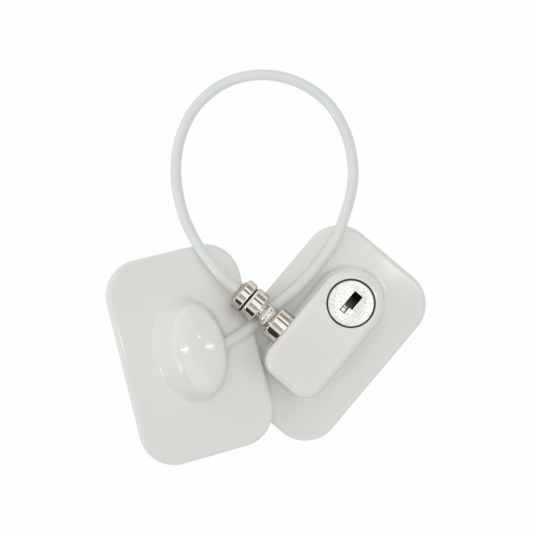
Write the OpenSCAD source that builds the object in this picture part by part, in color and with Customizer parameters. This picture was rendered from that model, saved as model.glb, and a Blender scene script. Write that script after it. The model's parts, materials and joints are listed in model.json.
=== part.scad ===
// Cabinet safety lock: a key lock base and an anchor base, joined by a cable that ends in a plug.
// Millimetres. The lock base lies on its foam pad at z = 0, with its long side along Y.

/* [Base plates] */
// width of both base plates
plate_w = 43.6; // [43.2:0.2:45]
// length of both base plates
plate_l = 64; // [63.5:0.5:66]
// corner radius of both base plates
plate_r = 11.2; // [10:0.2:12]
// thickness of the moulded plates
plate_t = 2.4; // [2.3:0.1:2.7]
// rounding of the plates' upper rim
rim_r = 1.4; // [0.8:0.1:1.6]
// thickness of the foam pads
foam_t = 0.8; // [0.6:0.1:1]
// how far the foam pads stand back from the plates' edge
foam_inset = 1.5; // [1.3:0.1:2]
// thickness of the back plates
back_t = 1.2; // [1:0.1:1.3]
// width of the moulded rim around the back plates
back_inset = 2.4; // [2.2:0.1:3]

/* [Lock body] */
// height of the body above its plate
body_h = 18.1; // [18:0.1:19]
// how far each flank moves out from the top down to the foot
body_draft = 1.1; // [0.8:0.1:1.2]
// hollow rounding at the body's foot
foot_r = 1.2; // [0.8:0.1:1.4]
// rounding of the body's upper edge
edge_r = 2.2; // [1.8:0.1:2.3]
// radius of the near corners
near_r = 5.6; // [5.4:0.1:6.4]
// distance of the near end from the plate's centre
body_near = 19.3; // [19:0.1:19.4]
// wall thickness of the body
wall_t = 1.8; // [1.6:0.1:1.8]

/* [Cylinder] */
// distance of the cylinder's axis from the plate's centre
lock_y = 12.7; // [12.5:0.1:13]
// how far the disc face stands out past the rotor
disc_lip = 0.8; // [0.75:0.05:0.9]
// gap around the disc in the body's roof
disc_gap = 0.5; // [0.4:0.05:0.55]
// how far the disc stands above the body
disc_proud = 0.1; // [0:0.05:0.3]
// chamfer of the disc's edge
disc_edge = 0.3; // [0.2:0.05:0.5]
// length of the rotor below the body's roof
rotor_l = 10.9; // [10.8:0.1:11.2]
// outer diameter of the housing, which sets the rotor inside it and the body around it
housing_d = 16; // [15.6:0.1:16.4]
// wall of the housing around the rotor
housing_wall = 1.72; // [1.7:0.01:1.8]
// room between the housing and the body's inner wall
housing_room = 0.2; // [0.1:0.05:0.3]
// thickness of the housing's flange
flange_t = 1.5; // [1.3:0.1:1.6]
// distance of the flange's front edge from the plate's centre
flange_front = 2.5; // [2.2:0.1:2.8]
// width of the keyway
key_w = 3.05; // [2.9:0.05:3.1]
// length of the keyway's narrow tail
tail_l = 2.35; // [2.2:0.05:2.5]
// width of the keyway's narrow tail
tail_w = 1.95; // [1.8:0.05:2]
// rotor left solid below the keyway
key_floor = 1; // [0.8:0.1:1.2]

/* [Wafers] */
// thickness of a wafer
wafer_t = 1.1; // [1:0.05:1.15]
// distance from wafer to wafer
wafer_pitch = 1.8; // [1.7:0.05:1.8]
// depth of the first wafer below the roof
wafer_top = 1.3; // [1.25:0.05:1.5]
// width of a wafer
wafer_w = 5.8; // [5.7:0.05:5.9]
// distance of a wafer's frame from the rotor's surface
wafer_end = 1.65; // [1.6:0.05:1.7]
// bar at each end of a wafer's frame
wafer_bar = 0.75; // [0.7:0.05:0.8]
// width of the wafers' window
window_w = 3.4; // [3.2:0.05:3.5]
// width of the nib that enters the housing's groove
nib_w = 3.4; // [3.2:0.05:3.6]
// travel of a wafer
wafer_travel = 0.8; // [0.6:0.05:0.8]
// how far the spring lug stands out from the wafer
lug_out = 0.9; // [0.8:0.05:0.95]
// length of the spring lug
lug_l = 1.2; // [1:0.1:1.3]
// thickness of the spring comb's back
comb_t = 0.6; // [0.5:0.05:0.7]
// thickness of the spring comb's fingers
finger_t = 0.5; // [0.4:0.05:0.6]

/* [Latch] */
// room between the cam and the body's inner wall
cam_room = 0.72; // [0.6:0.02:0.8]
// thickness of the latch fork
latch_t = 1.8; // [1.6:0.1:1.8]
// half the height of the fork's head
fork_half = 4.3; // [4.1:0.1:4.4]
// distance of the fork's tips from the plug's axis when unlocked
fork_tip = 2.2; // [2.2:0.05:2.4]
// half the depth of the latch's stem
stem_half = 1.5; // [1.3:0.1:1.6]
// half the width of the latch's foot
foot_half = 2.5; // [2.2:0.1:2.8]
// thickness of the latch's foot
latch_foot_t = 1.5; // [1.3:0.1:1.7]
// height of the latch's foot above the back plate
foot_lift = 1.4; // [1:0.1:1.6]
// diameter of the latch pin
latch_pin_d = 1.8; // [1.7:0.05:1.9]
// distance of the latch pin from the cylinder's axis when unlocked
cam_r0 = 3.1; // [3:0.05:3.2]
// thickness of the cam
cam_t = 2; // [1.8:0.1:2.1]
// rim of the cam outside its slot
cam_rim = 0.8; // [0.6:0.1:0.9]
// diameter of the rotor's stub in the cam
stub_d = 2.6; // [2.4:0.05:2.8]
// depth of the flat on the stub
stub_flat = 0.4; // [0.3:0.05:0.5]
// thickness of the cam clip
clip_t = 0.7; // [0.6:0.05:0.8]
// how far the stub stands out of the clip
stub_proud = 0.2; // [0.1:0.05:0.3]

/* [Plug] */
// distance of the plug's axis from the plate's centre
plug_y = 6.7; // [6.6:0.05:6.8]
// height of the plug's axis above the plate
plug_h = 11.3; // [11.25:0.05:11.4]
// diameter of the socket bush and the plug's collar
collar_d = 10.4; // [10.2:0.05:10.4]
// length of the socket bush outside the body
bush_l = 4.8; // [4.7:0.05:4.9]
// diameter of the bush's shank in the wall
shank_d = 8; // [7.6:0.1:8.2]
// how far the shank stands out of the nut
shank_proud = 0.3; // [0.2:0.05:0.5]
// width across the flats of the bush nut
nut_af = 9.2; // [9:0.05:9.3]
// thickness of the bush nut
nut_t = 2; // [1.8:0.1:2.1]
// diameter of the plug's pin
pin_d = 5.2; // [5.1:0.05:5.2]
// diameter of the pin in its latch groove
groove_d = 3.2; // [3:0.05:3.2]
// how far the pin reaches past the body's middle
pin_reach = 5; // [4.6:0.1:5.2]
// tip chamfer of the pin, along and across
tip_cut = 0.8; // [0.6:0.05:1]
// diameter of the bead
bead_d = 7.1; // [7:0.05:7.1]
// length of the bead
bead_l = 3.7; // [3.6:0.05:3.7]
// fall of the bead's diameter at its ends
bead_fall = 1.7; // [1.5:0.05:1.7]
// diameter of the neck between bead and collar
neck_d = 4.4; // [4.2:0.1:4.6]
// length of the neck
neck_l = 1; // [0.9:0.05:1]
// length of the plug's collar
collar_l = 4.5; // [4.4:0.05:4.6]
// chamfer of the collars, across
collar_cut = 0.3; // [0.2:0.05:0.4]
// chamfer of the collars, along
collar_slope = 0.3; // [0.2:0.05:0.4]
// bevel of the collar's rear edge, across
bevel_cut = 0.4; // [0.3:0.05:0.5]
// bevel of the collar's rear edge, along
bevel_l = 0.7; // [0.6:0.05:0.8]
// gap between collar and crimp sleeve
swivel_gap = 0.5; // [0.4:0.05:0.6]
// diameter of the crimp sleeve
sleeve_d = 10.5; // [10.3:0.05:10.5]
// length of the crimp sleeve
sleeve_l = 4.3; // [4.2:0.05:4.4]
// length of the sleeve's rear shoulder
shoulder_l = 1.3; // [1.2:0.05:1.4]
// diameter of the sleeve's rear face
rear_d = 5.2; // [5:0.1:5.6]
// diameter of the swivel spigot
spigot_d = 3.2; // [3:0.05:3.3]
// diameter of the swivel head
head_d = 5; // [4.8:0.05:5.1]
// thickness of the swivel head
head_t = 1; // [0.9:0.05:1]
// thickness of the sleeve's lip
lip_t = 0.5; // [0.4:0.05:0.5]
// thickness of the wall behind the swivel head
web_t = 0.4; // [0.35:0.05:0.5]

/* [Cable] */
// diameter of the cable
cable_d = 3.4; // [3.2:0.05:3.4]
// diameter of the wire core
core_d = 2; // [1.8:0.05:2.1]

/* [Anchor] */
// anchor centre across the lock plate
anchor_x = -27.8; // [-28.2:0.1:-27.8]
// anchor centre along the lock plate
anchor_y = -31.3; // [-31.7:0.1:-31.3]
// height of the anchor pad's centre above the lock plate
anchor_lift = 9.05; // [9:0.05:9.15]
// lean of the anchor about its long side, degrees
anchor_tilt = 20; // [19:0.5:20]
// turn of the anchor in plan, degrees
anchor_turn = 54; // [53.5:0.25:54.5]
// half the width of the dome
dome_b = 11.4; // [11.2:0.1:11.6]
// half the length of the dome
dome_a = 16.05; // [15.8:0.05:16.4]
// height of the dome above its plate
dome_h = 11.1; // [10.8:0.1:11.4]
// distance of the dome's middle from the plate's centre
dome_y = 1.1; // [0.9:0.1:1.3]
// draft of the dome's flank, degrees
dome_draft = 18.5; // [18:0.25:19]
// rounding of the dome's upper edge
dome_edge = 3; // [2.8:0.1:3.2]
// fall of the dome's crown at its edge, degrees
dome_crown = 10; // [9:0.5:11]
// wall thickness of the dome
dome_wall = 1.8; // [1.6:0.1:2]
// hollow rounding at the dome's foot
dome_foot = 1; // [0.6:0.1:1.2]
// height of the cable's axis above the anchor plate
exit_h = 2.3; // [2.2:0.05:2.35]
// distance of the cable's exit from the dome's middle
exit_x = 10.8; // [10.7:0.1:11]
// offset of the cable's exit along the dome, from its middle
exit_y = -0.55; // [-0.65:0.05:-0.45]
// turn of the cable's exit in plan, degrees
exit_turn = 15.5; // [15:0.25:16]
// diameter of the ferrule
ferrule_d = 5.2; // [5:0.1:5.2]
// length of the ferrule
ferrule_l = 7; // [6.6:0.1:7]
// depth of the ferrule's face behind the exit
ferrule_in = 6; // [5.8:0.1:6.2]
// length of the clamp along the cable
clamp_l = 5; // [4.6:0.1:5.2]
// half the width of the clamp
clamp_half = 5.8; // [5.7:0.1:6]
// height of the clamp below the cable's axis, at its foot
clamp_deep = 3.1; // [3:0.05:3.2]
// height of the clamp below the cable's axis, at its top
clamp_low = 0.4; // [0.3:0.05:0.5]
// distance of the clamp's screws from the cable's axis
clamp_screw_y = 4.4; // [4.35:0.05:4.4]

/* [Fasteners] */
// distance of the housing posts from the body's inner wall
post_in = 2.7; // [2.6:0.1:2.8]
// distance of the housing posts from the plate's centre
post_y = 2.6; // [2.4:0.1:2.7]
// distance of the near posts from the body's inner wall
near_post_in = 4; // [4:0.1:4.2]
// distance of the near posts from the plate's centre
near_post_y = 14; // [13.9:0.1:14]
// diameter of the posts
post_d = 4.4; // [4:0.1:4.4]
// diameter of the screws
screw_d = 1.8; // [1.6:0.1:2]
// diameter of the screw heads
screw_head_d = 3.6; // [3.2:0.1:3.6]
// height of the screw heads
screw_head_h = 1.3; // [1.1:0.1:1.4]
// length of the screws below their heads
screw_l = 6; // [5:0.5:6.5]
// height of the countersunk heads
sunk_h = 0.9; // [0.7:0.05:0.95]
// distance of the anchor's screws from the dome's middle
anchor_screw_y = 12.6; // [12.4:0.1:13]
// diameter of the clamp's posts
clamp_post_d = 3.2; // [3:0.1:3.2]
// diameter of the clamp's screws
clamp_screw_d = 1.4; // [1.2:0.1:1.5]
// diameter of the clamp screws' heads
clamp_head_d = 2.4; // [2.2:0.1:2.6]
// height of the clamp screws' heads
clamp_head_h = 0.8; // [0.6:0.1:0.9]
// length of the clamp's screws
clamp_screw_l = 5; // [4.6:0.1:5]

/* [Fits] */
// gap between parts that move past each other
move_gap = 0.3; // [0.3:0.02:0.34]
// gap of a running fit
run_gap = 0.08; // [0.05:0.01:0.1]
// gap around parts that are laid in
lay_gap = 0.1; // [0.05:0.05:0.2]

/* [Hidden] */
$fn = 64;
over = wall_t / 2;
arc_n = 5;
wafer_n = 5;
dome_sides = 48;
hollow_sides = 24;
dome_end_share = 0.8;
cut_shares = [0.55, 0.43, 0.7, 0.5, 0.6];
cable_sides = 8;
cable_steps = 2;
slot_lead = 5;
slot_step = 4;
quarter = 90;
hex = 6;

plate_top = foam_t + plate_t;
floor_z = foam_t + back_t;
body_top = plate_top + body_h;
roof_z = body_top - wall_t;
inner_w = housing_d / 2 + housing_room;
half_w = inner_w + wall_t;
body_far = lock_y + half_w;
rotor_d = housing_d - 2 * (housing_wall + run_gap);
rotor_r = rotor_d / 2;
disc_d = rotor_d + 2 * disc_lip;
rotor_z = roof_z - rotor_l;
housing_z = rotor_z + move_gap;
disc_z = roof_z + move_gap;
flange_z = housing_z + flange_t;
wafer_l = rotor_d - 2 * wafer_end;
window_l = wafer_l - 2 * wafer_bar;
key_l = window_l - 2 * lay_gap;
wafer_tip = rotor_r - lay_gap;
groove_out = wafer_tip + wafer_travel + move_gap;
groove_half = nib_w / 2 + move_gap + lay_gap;
slot_half_w = wafer_w / 2 + run_gap;
slot_half_t = wafer_t / 2 + run_gap;
pocket_x = wafer_w / 2 + lug_out + move_gap;
comb_y = -(lug_l / 2 + move_gap + 2 * comb_t + finger_t);
cam_z = rotor_z - cam_t;
stub_z = cam_z - clip_t - stub_proud;
slot_r = latch_pin_d / 2 + run_gap;
clip_d = 2 * (cam_r0 - latch_pin_d / 2 - move_gap);
cam_r = inner_w - cam_room;
latch_travel = cam_r - cam_rim - slot_r - cam_r0;
post_x = inner_w - post_in;
near_post_x = inner_w - near_post_in;
foot_z = floor_z + foot_lift;
plug_z = plate_top + plug_h;
pin_r = pin_d / 2;
groove_half_x = latch_t / 2 + move_gap;
fork_r = groove_d / 2 + move_gap;
bush_x = half_w + bush_l;
bead_x = -(bush_x + move_gap);
neck_x = bead_x - bead_l;
collar_x = neck_x - neck_l;
collar_rear = collar_x - collar_l;
sleeve_x = collar_rear - swivel_gap;
sleeve_rear = sleeve_x - sleeve_l;
lip_x = sleeve_x - lip_t;
head_x = lip_x - move_gap;
cavity_x = head_x - head_t - move_gap;
web_x = cavity_x - web_t;
cable_r = cable_d / 2;
anchor_z = plate_top + anchor_lift;
exit_z = plate_top + exit_h;
lay_z = plate_top + cable_r + lay_gap;
route_unit = plate_l / 640;

// cable route from below the plug, over the plate and round the loop: tenths of a millimetre on a 64 mm plate
over_plate = [[-176, -70], [-163, -5], [-152, 63], [-149, 151], [-156, 240]];
over_rise_shares = [1.74, 1.4, 1.15, 1, 1];
far_route = [[-179, 315], [-213, 393], [-258, 458], [-343, 527], [-453, 566], [-570, 554], [-673, 496],
    [-742, 400], [-761, 284], [-730, 173], [-663, 79], [-570, 6], [-477, -36], [-388, -58]];
far_rise_shares = [0.245, 0.12, 0.045, 0, 0, 0, 0, 0.01, 0.07, 0.22, 0.47, 0.77, 0.955, 1];

function tilted(p) = [p[0] * cos(anchor_tilt) + p[2] * sin(anchor_tilt), p[1],
    p[2] * cos(anchor_tilt) - p[0] * sin(anchor_tilt)];
function turned_z(p) = [p[0] * cos(anchor_turn) - p[1] * sin(anchor_turn),
    p[0] * sin(anchor_turn) + p[1] * cos(anchor_turn), p[2]];
function anchor_point(p) = [anchor_x, anchor_y, anchor_z] + turned_z(tilted(p));
function exit_point(s) = anchor_point([exit_x + s * cos(exit_turn),
    dome_y + exit_y + s * sin(exit_turn), exit_z]);

route = concat(
    [exit_point(-ferrule_in - cable_d), exit_point(-ferrule_in), exit_point(0), exit_point(2 * cable_d)],
    [for (i = [0:len(over_plate) - 1]) [over_plate[i][0] * route_unit, over_plate[i][1] * route_unit,
        lay_z * over_rise_shares[i]]],
    [for (i = [0:len(far_route) - 1]) [far_route[i][0] * route_unit, far_route[i][1] * route_unit,
        cable_r + (plug_z - cable_r) * far_rise_shares[i]]],
    [[sleeve_rear - cable_d, -plug_y, plug_z], [sleeve_rear, -plug_y, plug_z],
        [sleeve_rear + cable_d, -plug_y, plug_z]]);

function smooth(a, b, c, d, t) = (2 * b + (c - a) * t + (2 * a - 5 * b + 4 * c - d) * t * t
    + (3 * b - a - 3 * c + d) * t * t * t) / 2;
path = concat(
    [for (i = [1:len(route) - 3]) for (k = [0:cable_steps - 1])
        smooth(route[i - 1], route[i], route[i + 1], route[i + 2], k / cable_steps)],
    [route[len(route) - 2]]);
function unit(v) = v / norm(v);
function path_way(i) = i == 0 ? unit(route[1] - route[0])
    : i == len(path) - 1 ? unit(route[len(route) - 1] - route[len(route) - 2])
    : unit(path[i + 1] - path[i - 1]);

function arc_points(x, z, r, from, to) = [for (i = [0:arc_n]) let (a = from + (to - from) * i / arc_n)
    [x + r * cos(a), z + r * sin(a)]];
function mirrored(pts) = [for (i = [len(pts) - 1:-1:0]) [-pts[i][0], pts[i][1]]];
function wafer_z(i) = roof_z - wafer_top - i * wafer_pitch;

plate_profile = concat([[0, foam_t]], arc_points(-rim_r, plate_top - rim_r, rim_r, 0, quarter));
body_profile = concat(
    [[body_draft + foot_r, plate_top - plate_t / 2]],
    arc_points(body_draft + foot_r, plate_top + foot_r, foot_r, 3 * quarter, 2 * quarter),
    arc_points(-edge_r, body_top - edge_r, edge_r, 0, quarter));

// solid whose outline is a rounded rectangle and whose edge follows a profile of [outward, height]
module profiled(half, y0, y1, r0, r1, profile) {
    low = profile[0][1];
    high = profile[len(profile) - 1][1];
    side = [for (p = profile) [half + p[0], p[1]]];
    translate([0, y1 - r1, 0])
        rotate([quarter, 0, 0])
            linear_extrude(height = y1 - r1 - y0 - r0)
                polygon(concat(side, mirrored(side)));
    profiled_end(half - r0, y0 + r0, r0, -1, profile, low, high);
    profiled_end(half - r1, y1 - r1, r1, 1, profile, low, high);
}

// end of such a solid: round corners and the stretch between them, both reaching into the middle
module profiled_end(x, y, r, way, profile, low, high) {
    inner = y - way * r;
    corner = concat([[0, low]], [for (p = profile) [r + p[0], p[1]]], [[0, high]]);
    flat = concat([[inner, low]], [for (p = profile) [y + way * (r + p[0]), p[1]]], [[inner, high]]);
    for (side = x > 0 ? [-1, 1] : [1])
        translate([side * x, y, 0])
            rotate_extrude()
                polygon(corner);
    if (x > 0)
        translate([-x, 0, 0])
            rotate([quarter, 0, quarter])
                linear_extrude(height = 2 * x)
                    polygon(flat);
}

module sheet(w, l, r, t) {
    profiled(w / 2, -l / 2, l / 2, r, r, [[0, 0], [0, t]]);
}

module base_plate() {
    profiled(plate_w / 2, -plate_l / 2, plate_l / 2, plate_r, plate_r, plate_profile);
}

module back_recess() {
    translate([0, 0, foam_t - over])
        sheet(plate_w - 2 * back_inset, plate_l - 2 * back_inset, plate_r - back_inset, back_t + over);
}

module back_plate() {
    inset = back_inset + lay_gap;
    translate([0, 0, foam_t])
        sheet(plate_w - 2 * inset, plate_l - 2 * inset, plate_r - inset, back_t);
}

module foam_pad() {
    sheet(plate_w - 2 * foam_inset, plate_l - 2 * foam_inset, plate_r - foam_inset, foam_t);
}

module pan_screw(head_d, head_h, d, l) {
    translate([0, 0, -head_h])
        cylinder(h = head_h, d = head_d);
    cylinder(h = l, d = d);
}

module sunk_screw() {
    cylinder(h = sunk_h, d1 = screw_head_d, d2 = screw_d);
    cylinder(h = screw_l, d = screw_d);
}

module along_plug() {
    translate([0, -plug_y, plug_z])
        rotate([0, quarter, 0])
            children();
}

module plug_turning(pts) {
    along_plug()
        rotate_extrude()
            polygon(pts);
}

module at_cylinder(z) {
    translate([0, lock_y, z])
        children();
}

module at_anchor() {
    translate([anchor_x, anchor_y, anchor_z])
        rotate([0, anchor_tilt, anchor_turn])
            children();
}

module at_exit() {
    translate([exit_x, dome_y + exit_y, exit_z])
        rotate([0, 0, exit_turn])
            children();
}

module along_exit(s) {
    at_exit()
        translate([s, 0, 0])
            rotate([0, quarter, 0])
                children();
}

module housing_post_places() {
    for (sx = [-1, 1])
        translate([sx * post_x, post_y, 0])
            children();
}

module near_post_places() {
    for (sx = [-1, 1])
        translate([sx * near_post_x, -near_post_y, 0])
            children();
}

module body_hollow() {
    profiled(inner_w, wall_t - body_near, lock_y + inner_w, near_r - wall_t, inner_w,
        [[0, floor_z - over], [0, roof_z]]);
}

module lock_cover() {
    color("white")
        difference() {
            union() {
                difference() {
                    union() {
                        base_plate();
                        profiled(half_w, -body_near, body_far, near_r, half_w, body_profile);
                    }
                    back_recess();
                    body_hollow();
                }
                housing_post_places()
                    translate([0, 0, flange_z])
                        cylinder(h = roof_z - flange_z + over, d = post_d);
                near_post_places()
                    translate([0, 0, floor_z])
                        cylinder(h = roof_z - floor_z + over, d = post_d);
            }
            at_cylinder(roof_z - over)
                cylinder(h = wall_t + 2 * over, d = disc_d + 2 * disc_gap);
            along_plug()
                translate([0, 0, -bush_x])
                    cylinder(h = bush_l, d = collar_d + 2 * lay_gap);
            along_plug()
                translate([0, 0, -bush_x])
                    cylinder(h = bush_l + wall_t + over, d = shank_d);
            housing_post_places()
                translate([0, 0, flange_z - over])
                    cylinder(h = screw_l - flange_t + over, d = screw_d);
            near_post_places()
                translate([0, 0, floor_z - over])
                    cylinder(h = screw_l - back_t + over, d = screw_d);
        }
}

module lock_back_plate() {
    color("silver")
        difference() {
            back_plate();
            near_post_places()
                translate([0, 0, foam_t]) {
                    cylinder(h = sunk_h, d1 = screw_head_d, d2 = screw_d);
                    cylinder(h = back_t + over, d = screw_d);
                }
        }
}

module lock_foam_pad() {
    color("gainsboro")
        foam_pad();
}

module lock_screws() {
    color("gray")
        near_post_places()
            translate([0, 0, foam_t])
                sunk_screw();
}

module cylinder_housing() {
    color("darkgray")
        difference() {
            union() {
                at_cylinder(housing_z)
                    cylinder(h = roof_z - housing_z, d = housing_d);
                translate([-housing_d / 2, -flange_front, housing_z])
                    cube([housing_d, lock_y + flange_front, flange_t]);
            }
            at_cylinder(housing_z - over)
                cylinder(h = rotor_l + 2 * over, d = rotor_d + 2 * run_gap);
            at_cylinder(wafer_z(wafer_n - 1) - slot_half_t - move_gap)
                for (turn = [0, 1])
                    rotate([0, 0, turn * quarter])
                        translate([-groove_half, 0, 0])
                            cube([2 * groove_half, groove_out,
                                (wafer_n - 1) * wafer_pitch + 2 * slot_half_t + 2 * move_gap]);
            translate([-latch_t / 2 - run_gap, -flange_front - over, housing_z - over])
                cube([latch_t + 2 * run_gap, flange_front + over + stem_half + move_gap,
                    flange_t + 2 * over]);
            housing_post_places()
                translate([0, 0, housing_z - over])
                    cylinder(h = flange_t + 2 * over, d = screw_d + 2 * lay_gap);
        }
}

module housing_screws() {
    color("gray")
        housing_post_places()
            translate([0, 0, housing_z])
                pan_screw(screw_head_d, screw_head_h, screw_d, screw_l);
}

module socket_bush() {
    bore = pin_r + run_gap;
    face = collar_d / 2 - collar_cut;
    shank_end = nut_t + shank_proud - inner_w;
    color("lightsteelblue")
        plug_turning([[bore, -bush_x], [face, -bush_x], [collar_d / 2, collar_slope - bush_x],
            [collar_d / 2, -half_w], [shank_d / 2, -half_w], [shank_d / 2, shank_end], [bore, shank_end]]);
}

module bush_nut() {
    color("gray")
        along_plug()
            translate([0, 0, -inner_w])
                difference() {
                    rotate([0, 0, quarter])
                        cylinder(h = nut_t, r = nut_af / 2 / cos(quarter / 3), $fn = hex);
                    translate([0, 0, -over])
                        cylinder(h = nut_t + 2 * over, d = shank_d);
                }
}

module keyway(z, h) {
    translate([-key_w / 2, tail_l - key_l / 2, z])
        cube([key_w, key_l - tail_l, h]);
    translate([-key_w / 2, -key_l / 2, z])
        cube([tail_w, tail_l + run_gap, h]);
}

module stub_outline() {
    difference() {
        circle(d = stub_d);
        translate([stub_d / 2 - stub_flat, -stub_d])
            square([stub_d, 2 * stub_d]);
    }
}

module cylinder_rotor() {
    disc_top = body_top + disc_proud;
    disc_r = disc_d / 2;
    color("silver")
        difference() {
            union() {
                at_cylinder(0)
                    rotate_extrude()
                        polygon([[0, rotor_z], [rotor_r, rotor_z], [rotor_r, disc_z], [disc_r, disc_z],
                            [disc_r, disc_top - disc_edge], [disc_r - disc_edge, disc_top], [0, disc_top]]);
                at_cylinder(stub_z)
                    linear_extrude(height = rotor_z - stub_z + key_floor / 2)
                        stub_outline();
            }
            at_cylinder(0)
                keyway(rotor_z + key_floor, disc_top - rotor_z);
            for (i = [0:wafer_n - 1])
                at_cylinder(wafer_z(i) - slot_half_t)
                    translate([-slot_half_w, -rotor_d, 0])
                        cube([2 * slot_half_w, 2 * rotor_d, 2 * slot_half_t]);
            at_cylinder(wafer_z(wafer_n - 1) - slot_half_t)
                translate([0, comb_y, 0])
                    cube([pocket_x, lug_l / 2 + wafer_travel + move_gap - comb_y,
                        (wafer_n - 1) * wafer_pitch + 2 * slot_half_t]);
        }
}

module wafer(i) {
    cut = cut_shares[i] * window_l / 2;
    color("goldenrod")
        at_cylinder(wafer_z(i) - wafer_t / 2)
            linear_extrude(height = wafer_t)
                difference() {
                    union() {
                        square([wafer_w, wafer_l], center = true);
                        intersection() {
                            circle(r = wafer_tip);
                            translate([-nib_w / 2, 0])
                                square([nib_w, rotor_d]);
                        }
                        translate([0, -lug_l / 2])
                            square([wafer_w / 2 + lug_out, lug_l]);
                    }
                    translate([-window_w / 2, -cut])
                        square([window_w, cut + window_l / 2]);
                }
}

module wafer_1() {
    wafer(0);
}

module wafer_2() {
    wafer(1);
}

module wafer_3() {
    wafer(2);
}

module wafer_4() {
    wafer(3);
}

module wafer_5() {
    wafer(4);
}

module wafer_spring() {
    comb_x = wafer_w / 2 + move_gap;
    comb_w = pocket_x - comb_x;
    finger_l = -comb_y - lug_l / 2 - move_gap;
    color("peru")
        at_cylinder(0) {
            translate([comb_x, comb_y, wafer_z(wafer_n - 1) - slot_half_t])
                cube([comb_w, comb_t, (wafer_n - 1) * wafer_pitch + 2 * slot_half_t]);
            for (i = [0:wafer_n - 1])
                translate([comb_x, comb_y, wafer_z(i) - finger_t / 2])
                    cube([comb_w / 2, finger_l, finger_t]);
        }
}

function slot_rho(a) = cam_r0 + latch_travel * a / quarter;
function slot_point(a, out) = let (t = -quarter - a, rho = slot_rho(a),
    way = unit([latch_travel / quarter * cos(t) + rho * PI / 180 * sin(t),
        latch_travel / quarter * sin(t) - rho * PI / 180 * cos(t)]))
    [rho * cos(t) - out * way[1], rho * sin(t) + out * way[0]];
slot_turns = [for (a = [-slot_lead:slot_step:quarter + slot_lead]) a];

module rotor_cam() {
    color("slategray")
        at_cylinder(cam_z)
            linear_extrude(height = cam_t)
                difference() {
                    circle(r = cam_r);
                    stub_outline();
                    polygon(concat([for (a = slot_turns) slot_point(a, slot_r)],
                        [for (i = [len(slot_turns) - 1:-1:0]) slot_point(slot_turns[i], -slot_r)]));
                    for (a = [slot_turns[0], slot_turns[len(slot_turns) - 1]])
                        translate(slot_point(a, 0))
                            circle(r = slot_r);
                }
}

module cam_clip() {
    color("dimgray")
        at_cylinder(cam_z - clip_t)
            difference() {
                cylinder(h = clip_t, d = clip_d);
                translate([0, 0, -over])
                    cylinder(h = clip_t + 2 * over, d = stub_d);
            }
}

module latch_fork() {
    pin_y = lock_y - cam_r0;
    color("slategray")
        difference() {
            union() {
                translate([-latch_t / 2, 0, 0])
                    rotate([quarter, 0, quarter])
                        linear_extrude(height = latch_t)
                            difference() {
                                union() {
                                    translate([-stem_half, foot_z])
                                        square([2 * stem_half, plug_z + fork_half - foot_z]);
                                    translate([fork_tip - plug_y, plug_z - fork_half])
                                        square([stem_half + plug_y - fork_tip, 2 * fork_half]);
                                }
                                translate([latch_travel - plug_y, plug_z])
                                    circle(r = fork_r);
                                translate([-plug_y, plug_z - fork_r])
                                    square([latch_travel, 2 * fork_r]);
                            }
                translate([-foot_half, -stem_half, foot_z])
                    cube([2 * foot_half, stem_half + pin_y + latch_pin_d, latch_foot_t]);
            }
            translate([0, pin_y, foot_z - over])
                cylinder(h = latch_foot_t + 2 * over, d = latch_pin_d);
        }
}

module latch_pin() {
    color("silver")
        translate([0, lock_y - cam_r0, foot_z])
            cylinder(h = rotor_z - move_gap - foot_z, d = latch_pin_d);
}

module plug_pin() {
    head_r = head_d / 2;
    collar_r = collar_d / 2;
    bead_r = bead_d / 2;
    color("lightsteelblue")
        plug_turning([[0, head_x - head_t], [head_r, head_x - head_t], [head_r, head_x],
            [spigot_d / 2, head_x], [spigot_d / 2, collar_rear], [collar_r - bevel_cut, collar_rear],
            [collar_r, collar_rear + bevel_l], [collar_r, collar_x - collar_slope],
            [collar_r - collar_cut, collar_x], [neck_d / 2, collar_x], [neck_d / 2, neck_x],
            each [for (i = [-arc_n:arc_n]) [bead_r - bead_fall / 2 * pow(i / arc_n, 2),
                bead_x + bead_l * (i / arc_n - 1) / 2]],
            [pin_r, bead_x], [pin_r, -groove_half_x],
            [groove_d / 2, -groove_half_x], [groove_d / 2, groove_half_x], [pin_r, groove_half_x],
            [pin_r, pin_reach - tip_cut], [pin_r - tip_cut, pin_reach], [0, pin_reach]]);
}

module crimp_sleeve() {
    sleeve_r = sleeve_d / 2;
    cavity_r = head_d / 2 + move_gap;
    lip_r = spigot_d / 2 + run_gap;
    color("lightsteelblue")
        plug_turning([[0, web_x], [core_d / 2, web_x], [core_d / 2, sleeve_rear], [rear_d / 2, sleeve_rear],
            [sleeve_r, sleeve_rear + shoulder_l], [sleeve_r, sleeve_x - collar_slope],
            [sleeve_r - collar_cut, sleeve_x], [lip_r, sleeve_x], [lip_r, lip_x], [cavity_r, lip_x],
            [cavity_r, cavity_x], [0, cavity_x]]);
}

module cable_jacket() {
    n = len(path);
    m = cable_sides;
    points = [for (i = [0:n - 1]) let (way = path_way(i), side = unit(cross(way, [0, 0, 1])),
        up = cross(side, way)) for (k = [0:m - 1]) path[i] + cable_r * (cos(4 * quarter * k / m) * side
        + sin(4 * quarter * k / m) * up)];
    faces = concat([[for (k = [0:m - 1]) k]],
        [for (i = [0:n - 2]) for (k = [0:m - 1]) let (j = (k + 1) % m) each
            [[i * m + k, i * m + m + k, i * m + m + j], [i * m + k, i * m + m + j, i * m + j]]],
        [[for (k = [m - 1:-1:0]) (n - 1) * m + k]]);
    color("honeydew")
        polyhedron(points = points, faces = faces);
}

module cable_core_ends() {
    color("gray") {
        along_plug()
            translate([0, 0, sleeve_rear])
                cylinder(h = web_x - sleeve_rear, d = core_d);
        at_anchor()
            along_exit(-ferrule_in - ferrule_l)
                cylinder(h = ferrule_l, d = core_d);
    }
}

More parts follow.
